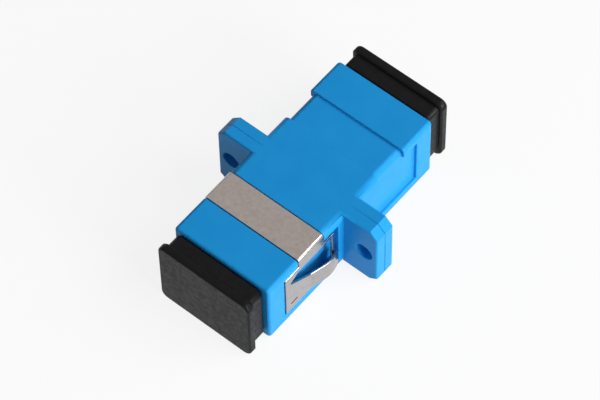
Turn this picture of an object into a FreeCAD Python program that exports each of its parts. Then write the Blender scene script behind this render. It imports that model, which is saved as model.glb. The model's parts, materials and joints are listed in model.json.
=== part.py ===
# SC fibre adapter: a flanged, clip-in coupler for two SC connectors, with both dust caps on.
#
# Frame: millimetres, origin at the centre of the alignment sleeve, +Y along the ports towards
# the end without the clip, +X along the flange, +Z up through the band of the spring clip.
# Both halves have the same mouldings, apart from the relief behind the clip's window. Each is
# drawn on the +Y side, where y is the distance from the weld plane, and the front ones are
# turned half a turn about Z.
import FreeCAD
import Part
import math
import os

Vector = FreeCAD.Vector

# Housing half: an open-ended moulded box with half of the flange at its inner end
body_width = 12.93
body_height = 9.35
body_length = 13.8             # one half, from the weld plane to the port's mouth
shoulder_corner_radius = 0.85  # between the flange and the groove
body_corner_radius = 0.5       # from the groove to the port's mouth
mouth_edge_radius = 0.35
flange_span = 22.0
flange_thickness = 1.38        # one half
flange_top_chamfer = 1.0
flange_bottom_chamfer_wide = 0.95
flange_bottom_chamfer_high = 0.75
flange_edge_radius = 0.24
weld_groove = 0.04
screw_edge_distance = 1.8      # hole centre to the flange's end
screw_hole_radius = 1.1

# Port: the SC opening, its key slot and the wider seat for the latch holder
port_width = 9.1
port_height = 7.46
port_corner_radius = 0.3
port_lead_in = 0.3
key_slot_width = 3.2
key_slot_length = 5.2
seat_depth = 1.2
seat_ledge = 0.4               # how far the seat is cut beyond each wall of the port

# Recesses for the spring clip, the same on both halves
rib_width = 0.8                # full-width rib between the flange and the pocket
pocket_length = 9.02
pocket_depth = 0.4
pocket_bottom_lip = 1.38       # wall left under the pocket
pocket_top_lip = 1.24          # wall left over the pocket
groove_offset = 2.4            # from the pocket's inner end to the groove
groove_width = 4.3
groove_depth = 0.36
groove_corner_radius = 0.75    # of the groove's floor
tab_relief_depth = 0.75        # below the pocket's floor, behind the clip's window

# Latch holder
arm_length = 8.6               # from the weld plane to the arm's tip
arm_thickness = 0.75
arm_height = 3.4
arm_gap = 5.6                  # between the inner faces of the two arms
hook_reach = 0.48
hook_length = 1.5
hook_tip_slope = 0.7
arm_root_radius = 0.4
tube_wall = 0.6
tube_lip_length = 0.6
tube_lip_radius = 1.42
tube_lead_in = 0.25
holder_edge_radius = 0.25

# Alignment sleeve
sleeve_length = 11.4
sleeve_radius = 1.6
sleeve_bore_radius = 1.25
sleeve_slit = 0.35
sleeve_edge_chamfer = 0.12

# Spring clip: one folded sheet
sheet = 0.3
clip_bend_radius = 0.4         # at the outer face
clip_flange_gap = 0.75         # from the pocket's inner end to the clip's leg
clip_leg_width = 0.4
clip_end_gap = 0.2             # to the pocket's outer end
clip_panel_width = 0.9         # flat metal in front of the tab
strip_height = 0.7             # metal above the window, as far as the band reaches
strip_fall = 0.7               # how much lower the window's edge is at the tab's root
bridge_height = 0.3            # metal from the strip to the leg
slit_depth = 0.33              # from the window's edge at the root down to the tab
panel_gap = 1.22               # flange face to tab tip, which holds the panel
tab_shoulder = 5.6             # flange face to where the tab has its full spring
tab_shoulder_fall = 1.95       # fall of the tab's upper edge from root to shoulder
tab_tip_fall = 0.3             # and from shoulder to tip
tab_bend_radius = 5.0
tab_angle = 14.2               # degrees outwards
tab_straight = 1.2             # between the two bends
tab_crest_radius = 4.0
tab_crest_turn = 38.2          # degrees back inwards
tab_tip_radius = 0.6
barb_slot_length = 1.05
barb_slot_width = 0.2
barb_slot_rise = 1.0           # above the clip's lower edge
barb_slot_offset = 0.8         # from the clip's outer edge

# Dust cap
cap_plate_width = 12.5
cap_plate_height = 9.72
cap_plate_thickness = 1.05
cap_plate_corner_radius = 0.93
cap_plate_edge_radius = 0.25
cap_plate_inner_chamfer = 0.2
cap_neck_width = 11.64
cap_neck_height = 8.42
cap_neck_rise = 0.15           # how far the neck sits above the middle
cap_neck_length = 1.94
cap_neck_corner_radius = 0.6
cap_neck_edge_chamfer = 0.3
cap_plug_length = 6.0
cap_plug_wall = 0.65
cap_plug_corner_radius = 0.5
cap_plug_lead_in = 0.3

# Clearances
holder_clearance = 0.03        # holder plate to seat, all round
sleeve_clearance = 0.05        # sleeve to tube, on the radius
sleeve_end_clearance = 0.1
clip_floor_clearance = 0.1     # clip to the floor of groove and pockets
clip_side_clearance = 0.09     # clip to the walls of groove and pockets
cap_clearance = 0.05           # cap plug to port, all round

half_width = body_width / 2
half_height = body_height / 2
screw_x = flange_span / 2 - screw_edge_distance
pocket_start = flange_thickness + rib_width
pocket_end = pocket_start + pocket_length
groove_start = pocket_start + groove_offset
groove_end = groove_start + groove_width
seat_width = port_width + 2 * seat_ledge
seat_height = port_height + 2 * seat_ledge
clip_face = half_width - pocket_depth + clip_floor_clearance + sheet   # outer face of its sides
clip_top = half_height - groove_depth + clip_floor_clearance + sheet   # outer face of its band
pocket_bottom = -half_height + pocket_bottom_lip
pocket_top = half_height - pocket_top_lip
clip_side_bottom = pocket_bottom + clip_side_clearance
clip_side_top = pocket_top - clip_side_clearance
clip_leg_start = pocket_start + clip_flange_gap
clip_end = pocket_end - clip_end_gap
window_top = clip_side_top - strip_height
tab_root = clip_end - clip_panel_width
tab_root_top = window_top - strip_fall - slit_depth
tab_tip = flange_thickness + panel_gap
tube_bore_radius = sleeve_radius + sleeve_clearance
tube_radius = tube_bore_radius + tube_wall
tube_bore_depth = sleeve_length / 2 + sleeve_end_clearance
cap_plug_width = port_width - 2 * cap_clearance
cap_plug_height = port_height - 2 * cap_clearance
cap_face = body_length + cap_neck_length + cap_plate_thickness
beyond = body_width            # how far a cutting tool runs past what it cuts


def centred_block(width, height, start, end):
    """Block centred on the Y axis, from y = start to y = end."""
    return Part.makeBox(width, end - start, height, Vector(-width / 2, start, -height / 2))


def edges_along_y(shape):
    """Straight edges of the shape that run along Y."""
    found = []
    for edge in shape.Edges:
        direction = edge.Vertexes[-1].Point - edge.Vertexes[0].Point
        if direction.Length > 0 and abs(direction.y) > 0.999 * direction.Length:
            found.append(edge)
    return found


def edges_at_y(shape, y):
    """Edges of the shape that lie in the plane at y."""
    return [edge for edge in shape.Edges
            if abs(edge.BoundBox.YMin - y) < 1e-6 and abs(edge.BoundBox.YMax - y) < 1e-6]


def rounded_block(width, height, radius, start, end):
    """Block centred on the Y axis with its four long edges rounded."""
    block = centred_block(width, height, start, end)
    return block.makeFillet(radius, edges_along_y(block))


def rod(radius, start, end, x=0.0, z=0.0):
    """Round bar along Y."""
    return Part.makeCylinder(radius, end - start, Vector(x, start, z), Vector(0, 1, 0))


def cone(radius_start, radius_end, start, end, x=0.0, z=0.0):
    """Tapered round bar along Y."""
    return Part.makeCone(radius_start, radius_end, end - start, Vector(x, start, z), Vector(0, 1, 0))


def prism(points, depth):
    """Straight-sided prism: a closed polygon of points, pushed along depth."""
    return Part.Face(Part.makePolygon(points + points[:1])).extrude(depth)


def flare(width, height, grow, start, end):
    """Four-sided funnel centred on the Y axis that grows by a given amount on every side."""
    mouths = []
    for y, extra in ((start, 0.0), (end, grow)):
        x = width / 2 + extra
        z = height / 2 + extra
        corners = [Vector(-x, y, -z), Vector(x, y, -z), Vector(x, y, z), Vector(-x, y, z)]
        mouths.append(Part.makePolygon(corners + corners[:1]))
    return Part.makeLoft(mouths, True, True)


def flange_half():
    """Half of the flange: a plate with cut corners, rounded front edges and two screw holes."""
    half_span = flange_span / 2
    right = [
        (half_span - flange_bottom_chamfer_wide, -half_height),
        (half_span, -half_height + flange_bottom_chamfer_high),
        (half_span, half_height - flange_top_chamfer),
        (half_span - flange_top_chamfer, half_height),
    ]
    outline = right + [(-x, z) for x, z in reversed(right)]
    plate = prism([Vector(x, 0, z) for x, z in outline], Vector(0, flange_thickness, 0))
    plate = plate.makeFillet(flange_edge_radius, edges_at_y(plate, flange_thickness))
    plate = plate.makeChamfer(weld_groove, edges_at_y(plate, 0.0))
    return plate


def clip_recesses():
    """Groove over the top and down both sides, and the shallow pocket in each side."""
    core = rounded_block(body_width - 2 * pocket_depth, body_height - 2 * groove_depth,
                         groove_corner_radius, groove_start, groove_end)
    lower = Part.makeBox(2 * beyond, groove_end - groove_start, beyond,
                         Vector(-beyond, groove_start, pocket_top - beyond))
    groove = centred_block(2 * beyond, 2 * beyond, groove_start, groove_end)
    groove = groove.cut(core).cut(lower)
    floor = half_width - pocket_depth
    size = (beyond, pocket_end - pocket_start, pocket_top - pocket_bottom)
    right = Part.makeBox(*size, Vector(floor, pocket_start, pocket_bottom))
    left = Part.makeBox(*size, Vector(-floor - beyond, pocket_start, pocket_bottom))
    return groove.fuse([left, right])


def tab_reliefs():
    """Deeper floor behind the clip's window on each side, so that the tab can be pressed in."""
    floor = half_width - pocket_depth - tab_relief_depth
    size = (beyond, tab_root - pocket_start, pocket_top - pocket_bottom)
    return [Part.makeBox(*size, Vector(x, pocket_start, pocket_bottom))
            for x in (floor, -floor - beyond)]


def port_cut():
    """Everything cut out of the inside of a half: port, lead-in, key slot and holder seat."""
    port = rounded_block(port_width, port_height, port_corner_radius, -beyond, beyond + body_length)
    lead_in = flare(port_width, port_height, port_lead_in, body_length - port_lead_in, body_length)
    key_slot = Part.makeBox(key_slot_width, key_slot_length, half_height,
                            Vector(-key_slot_width / 2, body_length - key_slot_length, -half_height))
    seat = rounded_block(seat_width, seat_height, port_corner_radius, -seat_depth, seat_depth)
    return port.fuse([lead_in, key_slot, seat])


def screw_holes():
    """The two screw holes through the flange."""
    return [rod(screw_hole_radius, -flange_thickness, 2 * flange_thickness, x)
            for x in (-screw_x, screw_x)]


def housing_half():
    """One half of the housing, drawn on the +Y side."""
    shoulder = rounded_block(body_width, body_height, shoulder_corner_radius, 0.0, groove_start)
    mouth = rounded_block(body_width, body_height, body_corner_radius, groove_start, body_length)
    mouth = mouth.makeFillet(mouth_edge_radius, edges_at_y(mouth, body_length))
    body = shoulder.fuse(mouth).cut(clip_recesses())
    half = body.fuse(flange_half()).removeSplitter()
    return half.cut([port_cut()] + screw_holes())


def latch_arm():
    """The arm on the +X side: a flat spring with an inward hook and a rounded root."""
    inner = arm_gap / 2
    outer = inner + arm_thickness
    hook = inner - hook_reach
    hook_end = arm_length - hook_tip_slope
    outline = [
        (inner, seat_depth / 2),
        (outer, seat_depth / 2),
        (outer, arm_length),
        (inner, arm_length),
        (hook, hook_end),
        (hook, arm_length - hook_length),
        (inner, arm_length - hook_length),
    ]
    arm = prism([Vector(x, y, -arm_height / 2) for x, y in outline], Vector(0, 0, arm_height))
    root = Part.makeBox(arm_root_radius, arm_root_radius, arm_height,
                        Vector(outer, seat_depth, -arm_height / 2))
    relief = Part.makeCylinder(arm_root_radius, arm_height,
                               Vector(outer + arm_root_radius, seat_depth + arm_root_radius,
                                      -arm_height / 2))
    return arm.fuse(root.cut(relief))


def latch_holder():
    """Inner moulding, drawn on the +Y side: seat plate, half of the sleeve tube, two arms."""
    plate = rounded_block(seat_width - 2 * holder_clearance, seat_height - 2 * holder_clearance,
                          holder_edge_radius, 0.0, seat_depth - holder_clearance)
    tube_end = tube_bore_depth + tube_lip_length
    tube = rod(tube_radius, 0.0, tube_end - tube_lead_in)
    nose = cone(tube_radius, tube_radius - tube_lead_in, tube_end - tube_lead_in, tube_end)
    arm = latch_arm()
    holder = plate.fuse([tube, nose, arm, arm.mirror(Vector(), Vector(1, 0, 0))])
    bore = rod(tube_bore_radius, -tube_lip_length, tube_bore_depth)
    mouth = rod(tube_lip_radius, 0.0, tube_end)
    funnel = cone(tube_lip_radius, tube_lip_radius + tube_lead_in, tube_end - tube_lead_in, tube_end)
    return holder.removeSplitter().cut([bore, mouth, funnel])


def alignment_sleeve():
    """Split ceramic sleeve with chamfered ends and its slit on top."""
    half = sleeve_length / 2
    tube = rod(sleeve_radius, -half, half).cut(rod(sleeve_bore_radius, -half, half))
    rims = edges_at_y(tube, -half) + edges_at_y(tube, half)
    tube = tube.makeChamfer(sleeve_edge_chamfer, rims)
    slit = Part.makeBox(sleeve_slit, sleeve_length, 2 * sleeve_radius,
                        Vector(-sleeve_slit / 2, -half, 0))
    return tube.cut(slit)


def strip_face(start, heading, moves, across):
    """Edge view of a bent sheet, drawn like a pen stroke one sheet thick.

    start is a point on the middle of the sheet, heading the direction it leaves in, and
    across the normal of the drawing plane. moves are (length, 0) for a straight run and
    (radius, turn in degrees) for a bend, positive to the left.
    """
    point = Vector(start)
    direction = Vector(heading).normalize()
    side = across.cross(direction)
    left = []
    right = []
    for amount, turn in moves:
        if turn == 0:
            end = point + direction * amount
            left.append(Part.makeLine(point + side * sheet / 2, end + side * sheet / 2))
            right.append(Part.makeLine(point - side * sheet / 2, end - side * sheet / 2))
            point = end
            continue
        toward = math.copysign(1, turn)
        centre = point + side * amount * toward
        spoke = point - centre
        for chain, radius in ((left, amount - toward * sheet / 2), (right, amount + toward * sheet / 2)):
            stops = []
            for share in (0, 0.5, 1):
                spin = FreeCAD.Rotation(across, turn * share)
                stops.append(centre + spin.multVec(spoke) * (radius / amount))
            chain.append(Part.Arc(*stops).toShape())
        spin = FreeCAD.Rotation(across, turn)
        point = centre + spin.multVec(spoke)
        direction = spin.multVec(direction)
        side = spin.multVec(side)
    first = Part.makeLine(left[0].firstVertex().Point, right[0].firstVertex().Point)
    last = Part.makeLine(left[-1].lastVertex().Point, right[-1].lastVertex().Point)
    return Part.Face(Part.Wire(Part.__sortEdges__(left + right + [first, last])))


def side_mask(points):
    """Solid whose outline seen along X is a polygon of (y, z)."""
    return prism([Vector(-beyond, y, z) for y, z in points], Vector(2 * beyond, 0, 0))


def clip_frame():
    """The band and the two sides, folded from one strip and cut to shape."""
    bend = clip_bend_radius - sheet / 2
    side_x = clip_face - sheet / 2
    rise = clip_top - sheet / 2 - bend - clip_side_bottom
    moves = [(rise, 0), (bend, 90), (2 * (side_x - bend), 0), (bend, 90), (rise, 0)]
    start = Vector(side_x, clip_leg_start, clip_side_bottom)
    fold = strip_face(start, Vector(0, 0, 1), moves, Vector(0, -1, 0))
    folded = fold.extrude(Vector(0, clip_end - clip_leg_start, 0))
    band_start = groove_start + clip_side_clearance
    band_end = groove_end - clip_side_clearance
    outline = side_mask([
        (clip_leg_start, -beyond), (clip_end, -beyond), (clip_end, clip_side_top),
        (band_end, clip_side_top), (band_end, beyond), (band_start, beyond),
        (band_start, window_top + bridge_height), (clip_leg_start, window_top + bridge_height),
    ])
    leg_end = clip_leg_start + clip_leg_width
    window = side_mask([
        (tab_root, -beyond), (tab_root, window_top - strip_fall), (groove_end, window_top),
        (leg_end, window_top), (leg_end, -beyond),
    ])
    return folded.common(outline).cut(window)


def tab_flat():
    """Length of the tab's flat run from its root that brings its tip to the panel gap."""
    out = math.sin(math.radians(tab_angle))
    back = math.sin(math.radians(tab_crest_turn - tab_angle))
    bends = tab_bend_radius * out + tab_crest_radius * (out + back)
    return tab_root - tab_tip - bends - tab_straight * math.cos(math.radians(tab_angle))


def clip_tab():
    """The sprung tab on the +X side, bent outwards and curled back at its tip."""
    moves = [(tab_flat(), 0), (tab_bend_radius, -tab_angle), (tab_straight, 0),
             (tab_crest_radius, tab_crest_turn)]
    start = Vector(clip_face - sheet / 2, tab_root, clip_side_bottom)
    fold = strip_face(start, Vector(0, -1, 0), moves, Vector(0, 0, -1))
    tab = fold.extrude(Vector(0, 0, tab_root_top - clip_side_bottom))
    tip = tab.BoundBox.YMin
    shoulder_top = tab_root_top - tab_shoulder_fall
    outline = side_mask([
        (tab_root, clip_side_bottom), (tab_root, tab_root_top),
        (flange_thickness + tab_shoulder, shoulder_top),
        (tip, shoulder_top - tab_tip_fall), (tip, clip_side_bottom),
    ])
    corners = [edge for edge in outline.Edges
               if abs(edge.BoundBox.YMax - tip) < 1e-6 and edge.BoundBox.XLength > beyond]
    return tab.common(outline.makeFillet(tab_tip_radius, corners))


def spring_clip():
    """The whole clip in one piece, drawn on the +Y side."""
    tab = clip_tab()
    clip = clip_frame().fuse([tab, tab.mirror(Vector(), Vector(1, 0, 0))])
    start = clip_end - barb_slot_offset - barb_slot_length
    low = clip_side_bottom + barb_slot_rise
    slot = Part.makeBox(2 * beyond, barb_slot_length, barb_slot_width, Vector(-beyond, start, low))
    return clip.removeSplitter().cut(slot)


def dust_cap():
    """Dust cap, drawn on the +Y side: grip plate, neck and the hollow plug in the port."""
    plate_start = body_length + cap_neck_length
    plate = rounded_block(cap_plate_width, cap_plate_height, cap_plate_corner_radius,
                          plate_start, cap_face)
    plate = plate.makeFillet(cap_plate_edge_radius, edges_at_y(plate, cap_face))
    plate = plate.makeChamfer(cap_plate_inner_chamfer, edges_at_y(plate, plate_start))
    neck = rounded_block(cap_neck_width, cap_neck_height, cap_neck_corner_radius,
                         body_length, plate_start + cap_plate_thickness / 2)
    neck.translate(Vector(0, 0, cap_neck_rise))
    neck = neck.makeChamfer(cap_neck_edge_chamfer, edges_at_y(neck, body_length))
    plug_start = body_length - cap_plug_length
    plug = rounded_block(cap_plug_width, cap_plug_height, cap_plug_corner_radius,
                         plug_start, plate_start + cap_plate_thickness / 2)
    plug = plug.makeChamfer(cap_plug_lead_in, edges_at_y(plug, plug_start))
    hollow = rounded_block(cap_plug_width - 2 * cap_plug_wall, cap_plug_height - 2 * cap_plug_wall,
                           cap_plug_corner_radius, plug_start - beyond, plate_start)
    return plate.fuse([neck, plug]).cut(hollow)


def turned(shape):
    """The same moulding at the other end: half a turn about Z."""
    copy = shape.copy()
    copy.rotate(Vector(), Vector(0, 0, 1), 180)
    return copy


def main():
    os.makedirs("parts", exist_ok=True)
    housing = housing_half()
    holder = latch_holder()
    cap = dust_cap()
    nodes = {
        "rear_housing": housing,
        "front_housing": turned(housing.cut(tab_reliefs())),
        "rear_latch_holder": holder,
        "front_latch_holder": turned(holder),
        "alignment_sleeve": alignment_sleeve(),
        "spring_clip": turned(spring_clip()),
        "rear_dust_cap": cap,
        "front_dust_cap": turned(cap),
    }
    for name, shape in nodes.items():
        shape.exportStep(f"parts/{name}.step")
        print(name, len(shape.Solids), "solid", round(shape.Volume, 3), "mm3")


main()
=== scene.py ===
# SC fibre adapter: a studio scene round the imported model, in metres where no note says mm
import bpy
import bmesh
import json
import math
from mathutils import Matrix, Vector


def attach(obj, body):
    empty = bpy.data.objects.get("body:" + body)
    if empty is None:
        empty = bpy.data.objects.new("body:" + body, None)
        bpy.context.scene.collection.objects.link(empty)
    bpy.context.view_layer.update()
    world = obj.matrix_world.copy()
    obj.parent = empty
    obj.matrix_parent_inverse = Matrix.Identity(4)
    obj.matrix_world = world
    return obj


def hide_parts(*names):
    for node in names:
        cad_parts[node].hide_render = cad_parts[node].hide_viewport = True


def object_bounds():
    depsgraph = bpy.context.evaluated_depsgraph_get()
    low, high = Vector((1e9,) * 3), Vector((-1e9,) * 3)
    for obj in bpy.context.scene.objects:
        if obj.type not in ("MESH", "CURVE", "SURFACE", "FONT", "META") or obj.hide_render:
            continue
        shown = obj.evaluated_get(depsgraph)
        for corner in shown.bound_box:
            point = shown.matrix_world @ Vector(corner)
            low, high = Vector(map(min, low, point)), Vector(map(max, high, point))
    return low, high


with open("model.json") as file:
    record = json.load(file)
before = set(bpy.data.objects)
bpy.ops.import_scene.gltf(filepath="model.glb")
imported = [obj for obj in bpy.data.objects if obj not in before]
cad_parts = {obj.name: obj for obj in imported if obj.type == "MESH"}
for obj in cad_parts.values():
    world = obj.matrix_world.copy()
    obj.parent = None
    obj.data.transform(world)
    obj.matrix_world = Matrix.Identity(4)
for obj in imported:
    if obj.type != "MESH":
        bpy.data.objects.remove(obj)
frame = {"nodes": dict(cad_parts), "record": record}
cadBox = [list(corner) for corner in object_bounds()]
mm = 0.001
print("frame loaded:", len(frame["nodes"]), "nodes")


def linear(code):  # sRGB hex to the linear colour that a socket takes
    shares = [int(code[i:i + 2], 16) / 255 for i in (1, 3, 5)]
    return [s / 12.92 if s <= 0.04045 else ((s + 0.055) / 1.055) ** 2.4 for s in shares] + [1.0]


def addNode(tree, kind, settings, inputs):  # a socket in inputs is linked, anything else is set
    node = tree.nodes.new(kind)
    for name, value in settings.items():
        setattr(node, name, value)
    for name, value in inputs.items():
        if isinstance(value, bpy.types.NodeSocket):
            tree.links.new(value, node.inputs[name])
        else:
            node.inputs[name].default_value = value
    return node


def newMaterial(name):
    material = bpy.data.materials.new(name)
    material.use_nodes = True
    material.node_tree.nodes.clear()
    return material, material.node_tree


# Camera: a long lens looking down on the clip end and the right-hand flange ear
view = {
    "azimuth": 40.364,
    "elevation": 57.396,
    "roll": -1.227,            # all three in degrees
    "distance": 361.05 * mm,
    "slide": (-0.531 * mm, -0.259 * mm),  # the view's middle from the origin, right and up
    "lens": 201.57,            # focal length in mm
    "near": 10 * mm,
    "far": 5000 * mm,
}


def makeCamera(v):
    azimuth = math.radians(v["azimuth"])
    elevation = math.radians(v["elevation"])
    back = Vector((math.sin(azimuth) * math.cos(elevation),
                   -math.cos(azimuth) * math.cos(elevation),
                   math.sin(elevation)))
    place = back * v["distance"]
    right = Vector((0, 0, 1)).cross(back).normalized()
    up = back.cross(right)
    roll = Matrix.Rotation(math.radians(v["roll"]), 3, back)
    right, up = roll @ right, roll @ up
    middle = right * v["slide"][0] + up * v["slide"][1]
    back = (place - middle).normalized()
    right = up.cross(back).normalized()
    up = back.cross(right)
    data = bpy.data.cameras.new("studioCamera")
    data.lens = v["lens"]
    data.clip_start = v["near"]
    data.clip_end = v["far"]
    camera = bpy.data.objects.new("studioCamera", data)
    bpy.context.scene.collection.objects.link(camera)
    turn = Matrix((right, up, back)).transposed()
    camera.matrix_world = Matrix.Translation(place) @ turn.to_4x4()
    bpy.context.scene.camera = camera


# Light: a soft box low on the right, one higher behind it, a weak one in front, and a pale room
studio = {
    "roomLight": 0.12,         # what the room gives to surfaces
    "roomColor": "#f4f7fb",
    "walls": (                 # what shows of the room, by the sine of its elevation
        (0.05, "#ffffff"),
        (0.20, "#b9b4b0"),
        (0.42, "#b9b4b0"),
        (0.70, "#e4dbd3"),
    ),
    "floorColor": "#f2f2f2",
    "floorGlow": 0.86,         # share of the floor that shows as plain white
    "floorSize": 4.0,
}
softBoxes = {
    "keyBox": {
        "toward": (0.940, -0.020, 0.342), "away": 0.50,
        "size": (0.22, 0.24), "power": 2.4, "tint": "#ffffff",
    },
    "rearBox": {
        "toward": (0.579, 0.406, 0.707), "away": 0.50,
        "size": (0.28, 0.26), "power": 1.4, "tint": "#ffffff",
    },
    "fillBox": {
        "toward": (0.100, -0.900, 0.420), "away": 0.50,
        "size": (0.30, 0.26), "power": 0.15, "tint": "#ffffff",
    },
}


def makeSoftBox(name, s):
    data = bpy.data.lights.new(name, "AREA")
    data.shape = "RECTANGLE"
    data.size, data.size_y = s["size"]
    data.energy = s["power"]
    data.color = linear(s["tint"])[:3]
    lamp = bpy.data.objects.new(name, data)
    toward = Vector(s["toward"]).normalized()
    lamp.location = toward * s["away"]
    lamp.rotation_mode = "QUATERNION"
    lamp.rotation_quaternion = toward.to_track_quat("Z", "Y")
    bpy.context.scene.collection.objects.link(lamp)


def seenDirectly(tree):  # 1 for camera, glossy and transmission rays, 0 for diffuse light
    path = addNode(tree, "ShaderNodeLightPath", {}, {})
    glossy = addNode(tree, "ShaderNodeMath", {"operation": "MAXIMUM"},
                     {0: path.outputs["Is Camera Ray"], 1: path.outputs["Is Glossy Ray"]})
    return addNode(tree, "ShaderNodeMath", {"operation": "MAXIMUM"},
                   {0: glossy.outputs[0], 1: path.outputs["Is Transmission Ray"]}).outputs[0]


def makeRoom(s):
    world = bpy.data.worlds.new("paleRoom")
    bpy.context.scene.world = world
    world.use_nodes = True
    tree = world.node_tree
    tree.nodes.clear()
    place = addNode(tree, "ShaderNodeTexCoord", {}, {})
    height = addNode(tree, "ShaderNodeSeparateXYZ", {}, {0: place.outputs["Generated"]})
    wall = addNode(tree, "ShaderNodeValToRGB", {}, {0: height.outputs["Z"]})
    stops = wall.color_ramp.elements
    while len(stops) < len(s["walls"]):
        stops.new(1.0)
    for stop, (sine, color) in zip(stops, s["walls"]):
        stop.position = sine
        stop.color = linear(color)
    seen = addNode(tree, "ShaderNodeBackground", {}, {"Color": wall.outputs[0], "Strength": 1.0})
    light = addNode(tree, "ShaderNodeBackground", {},
                    {"Color": linear(s["roomColor"]), "Strength": s["roomLight"]})
    both = addNode(tree, "ShaderNodeMixShader", {},
                   {0: seenDirectly(tree), 1: light.outputs[0], 2: seen.outputs[0]})
    addNode(tree, "ShaderNodeOutputWorld", {}, {"Surface": both.outputs[0]})


def makeFloor(s):
    bm = bmesh.new()
    bmesh.ops.create_grid(bm, x_segments=1, y_segments=1, size=s["floorSize"] / 2)
    bmesh.ops.translate(bm, verts=bm.verts, vec=(0, 0, cadBox[0][2]))
    mesh = bpy.data.meshes.new("studioFloor")
    bm.to_mesh(mesh)
    bm.free()
    floor = bpy.data.objects.new("studioFloor", mesh)
    bpy.context.scene.collection.objects.link(floor)
    material, tree = newMaterial("paintedBoardWhite")  # matt white board: soft shadow, no gloss
    paint = addNode(tree, "ShaderNodeBsdfDiffuse", {}, {"Color": linear(s["floorColor"])})
    glow = addNode(tree, "ShaderNodeEmission", {}, {"Color": [1, 1, 1, 1], "Strength": 1.0})
    share = addNode(tree, "ShaderNodeMath", {"operation": "MULTIPLY"},
                    {0: seenDirectly(tree), 1: s["floorGlow"]})
    board = addNode(tree, "ShaderNodeMixShader", {},
                    {0: share.outputs[0], 1: paint.outputs[0], 2: glow.outputs[0]})
    addNode(tree, "ShaderNodeOutputMaterial", {}, {"Surface": board.outputs[0]})
    mesh.materials.append(material)


makeCamera(view)
for boxName, boxFacts in softBoxes.items():
    makeSoftBox(boxName, boxFacts)
makeRoom(studio)
makeFloor(studio)
bpy.context.scene.view_settings.view_transform = "Standard"
print("studio ready")


def noise(tree, place, size, detail, rough):  # features of a real size, in mm
    return addNode(tree, "ShaderNodeTexNoise", {},
                   {"Vector": place, "Scale": 1 / size / mm,
                    "Detail": detail, "Roughness": rough}).outputs["Fac"]


noiseReach = (0.3, 0.7)  # nearly all of a noise pattern lies between these


def spread(tree, value, low, high):  # a noise pattern stretched to run from low to high
    return addNode(tree, "ShaderNodeMapRange", {},
                   {"Value": value, "From Min": noiseReach[0], "From Max": noiseReach[1],
                    "To Min": low, "To Max": high}).outputs[0]


def clouded(tree, pattern, f):  # a finish's two colours, mixed by a noise pattern
    firstColor, secondColor, mixed = 6, 7, 2  # the colour sockets of a mix
    return addNode(tree, "ShaderNodeMix", {"data_type": "RGBA"},
                   {0: spread(tree, pattern, 0.0, 1.0), firstColor: linear(f["deep"]),
                    secondColor: linear(f["pale"])}).outputs[mixed]


# The sizes and depths in a finish are in mm: the clouding of its colour, the patches of its
# sheen, and its grain, which is drawn coarser than the real one so that it still shows

# Polybutylene terephthalate, injection moulded in a fine spark-eroded tool: an even satin blue
# with a soft grain that breaks up its reflections, and faint flow clouding a few mm across
housingFinish = {
    "deep": "#1d92d8", "pale": "#2297dc", "specular": 0.10, "roughness": (0.34, 0.44),
    "cloudSize": 3.5, "sheenSize": 1.6, "grainSize": 0.20, "grainDepth": 0.0040,
}
# Polyethylene, injection moulded without polish: waxy black, mottled where the skin froze first
capFinish = {
    "deep": "#0c0d0f", "pale": "#141518", "specular": 0.12, "roughness": (0.26, 0.54),
    "cloudSize": 0.9, "sheenSize": 0.5, "grainSize": 0.22, "grainDepth": 0.0060,
}
# Polybutylene terephthalate in its natural colour, injection moulded: a chalky ivory satin
holderFinish = {
    "deep": "#dcd8cc", "pale": "#e9e6dc", "specular": 0.35, "roughness": (0.38, 0.48),
    "cloudSize": 2.0, "sheenSize": 1.0, "grainSize": 0.16, "grainDepth": 0.0020,
}
# Zirconia, fired and then polished: dense white with a clear gloss
sleeveFinish = {
    "deep": "#ebe7dd", "pale": "#f4f1ea", "specular": 0.5, "roughness": (0.12, 0.2),
    "cloudSize": 1.2, "sheenSize": 0.6, "grainSize": 0.1, "grainDepth": 0.0006,
}


def mouldedMaterial(name, f):
    material, tree = newMaterial(name)
    place = addNode(tree, "ShaderNodeTexCoord", {}, {}).outputs["Object"]
    cloud = noise(tree, place, f["cloudSize"], detail=3.0, rough=0.55)
    sheen = noise(tree, place, f["sheenSize"], detail=4.0, rough=0.7)
    grain = noise(tree, place, f["grainSize"], detail=2.0, rough=0.6)
    bump = addNode(tree, "ShaderNodeBump", {}, {"Height": grain, "Distance": f["grainDepth"] * mm})
    shader = addNode(tree, "ShaderNodeBsdfPrincipled", {},
                     {"Base Color": clouded(tree, cloud, f),
                      "Roughness": spread(tree, sheen, *f["roughness"]),
                      "Specular IOR Level": f["specular"], "Normal": bump.outputs[0]})
    addNode(tree, "ShaderNodeOutputMaterial", {}, {"Surface": shader.outputs[0]})
    return material


# Stainless spring steel, cold rolled strip, tumbled after folding: a warm grey satin whose
# fine pits, drawn coarser than the real ones, scatter the light the same way in every direction
clipFinish = {
    "deep": "#a8a4a4", "pale": "#b7b3b3", "roughness": (0.18, 0.28),
    "pitSize": 0.22, "pitDepth": 0.006, "patchSize": 0.45,
}


def springSteel(name, f):
    material, tree = newMaterial(name)
    place = addNode(tree, "ShaderNodeTexCoord", {}, {}).outputs["Object"]
    patch = noise(tree, place, f["patchSize"], detail=4.0, rough=0.6)
    pits = noise(tree, place, f["pitSize"], detail=2.0, rough=0.6)
    bump = addNode(tree, "ShaderNodeBump", {}, {"Height": pits, "Distance": f["pitDepth"] * mm})
    shader = addNode(tree, "ShaderNodeBsdfPrincipled", {},
                     {"Base Color": clouded(tree, patch, f), "Metallic": 1.0,
                      "Roughness": spread(tree, pits, *f["roughness"]), "Normal": bump.outputs[0]})
    addNode(tree, "ShaderNodeOutputMaterial", {}, {"Surface": shader.outputs[0]})
    return material


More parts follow.
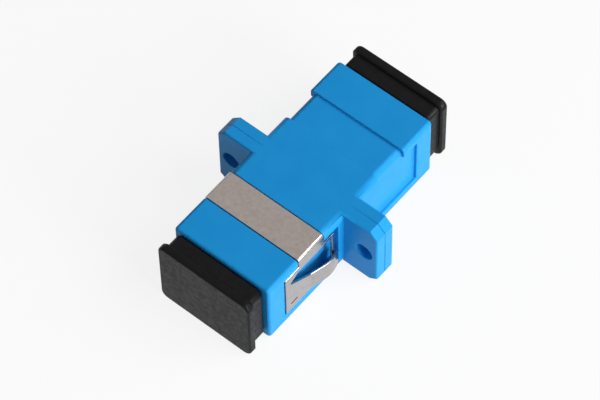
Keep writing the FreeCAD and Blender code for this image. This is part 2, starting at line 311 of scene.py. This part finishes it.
finishes = {
    "housing": mouldedMaterial("mouldedPbtBlue", housingFinish),
    "dust_cap": mouldedMaterial("mouldedPolyethyleneBlack", capFinish),
    "latch_holder": mouldedMaterial("mouldedPbtNatural", holderFinish),
    "sleeve": mouldedMaterial("polishedZirconia", sleeveFinish),
    "clip": springSteel("rolledSpringSteel", clipFinish),
}
print("materials ready")

# Edge rounds in mm that moulding and tumbling leave, too small for the solids
edgeRounds = {
    "front_housing": 0.12, "rear_housing": 0.12,
    "front_latch_holder": 0.05, "rear_latch_holder": 0.05,
    "alignment_sleeve": 0.02, "spring_clip": 0.10,
    "front_dust_cap": 0.08, "rear_dust_cap": 0.08,
}
rounding = {
    "crease": math.radians(27),  # sharper edges are real corners, the rest are facets of a curve
    "flat": math.radians(0.5),   # faces that meet at less than this become one
    "weld": 0.0005 * mm,         # and so do vertices this close
    "steps": 3,                  # faces across a round
    "sharpLean": 0.6,            # an edge that leans this far along its neighbour leaves no room
    "straightLean": -0.8,        # below this the neighbour only carries the edge on
    "room": 2.2,                 # widths of round that a neighbour has to be long
    "stopBefore": 1.5,           # widths of round between its stop and the corner's end
    "stopShare": 0.3,            # and at most this share of the edge
}


def crowds(edge, vert, other, width):  # other leaves no room at vert for a round along edge
    along = (edge.other_vert(vert).co - vert.co).normalized()
    lean = along.dot((other.other_vert(vert).co - vert.co).normalized())
    short = other.calc_length() < rounding["room"] * width
    return lean > rounding["sharpLean"] or (lean > rounding["straightLean"] and short)


def openCorners(bm, width, outerOnly):  # the corners with room for a round of this width
    chosen = []
    for edge in bm.edges:
        if len(edge.link_faces) != 2 or edge.calc_face_angle() <= rounding["crease"]:
            continue
        if outerOnly and not edge.is_convex:
            continue
        if not any(crowds(edge, vert, other, width)
                   for vert in edge.verts for other in vert.link_edges if other is not edge):
            chosen.append(edge)
    return chosen


def stopShort(chosen, width):  # where a run of corners ends, its round stops just before the end
    runs = set(chosen)
    ends = [(edge, vert) for edge in chosen for vert in edge.verts
            if sum(other in runs for other in vert.link_edges) == 1]
    kept = {edge: edge for edge in chosen}
    for edge, vert in ends:
        part = kept[edge]
        share = min(rounding["stopShare"], rounding["stopBefore"] * width / part.calc_length())
        fresh, _ = bmesh.utils.edge_split(part, vert, share)
        kept[edge] = fresh if vert in part.verts else part
    return list(kept.values())


def finishedPiece(node, body, slotName):
    bm = bmesh.new()
    bm.from_mesh(frame["nodes"][node].data)
    bmesh.ops.remove_doubles(bm, verts=bm.verts, dist=rounding["weld"])
    bmesh.ops.dissolve_limit(bm, angle_limit=rounding["flat"], verts=bm.verts, edges=bm.edges)
    width = edgeRounds[node] * mm
    corners = openCorners(bm, width, outerOnly=slotName == "clip")
    bmesh.ops.bevel(bm, geom=stopShort(corners, width), offset=width, offset_type="OFFSET",
                    segments=rounding["steps"], profile=0.5, affect="EDGES", clamp_overlap=False,
                    material=-1, face_strength_mode="ALL")
    for face in bm.faces:
        face.smooth = True
    mesh = bpy.data.meshes.new(node + "_finish")
    bm.to_mesh(mesh)
    bm.free()
    mesh.set_sharp_from_angle(angle=rounding["crease"])
    mesh.materials.append(finishes[slotName])
    piece = bpy.data.objects.new(node + "_finish", mesh)
    bpy.context.scene.collection.objects.link(piece)
    shading = piece.modifiers.new("flatFacesStayFlat", "WEIGHTED_NORMAL")
    shading.keep_sharp = True
    shading.use_face_influence = True
    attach(piece, body)
    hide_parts(node)
    return piece


slotOf = {part["node"]: part["material_slot"] for part in frame["record"]["subparts"]}
for bodyName, members in frame["record"]["behaviour"]["bodies"].items():
    for nodeName in members:
        made = finishedPiece(nodeName, bodyName, slotOf[nodeName])
        print("finished", made.name, len(made.data.polygons), "faces")
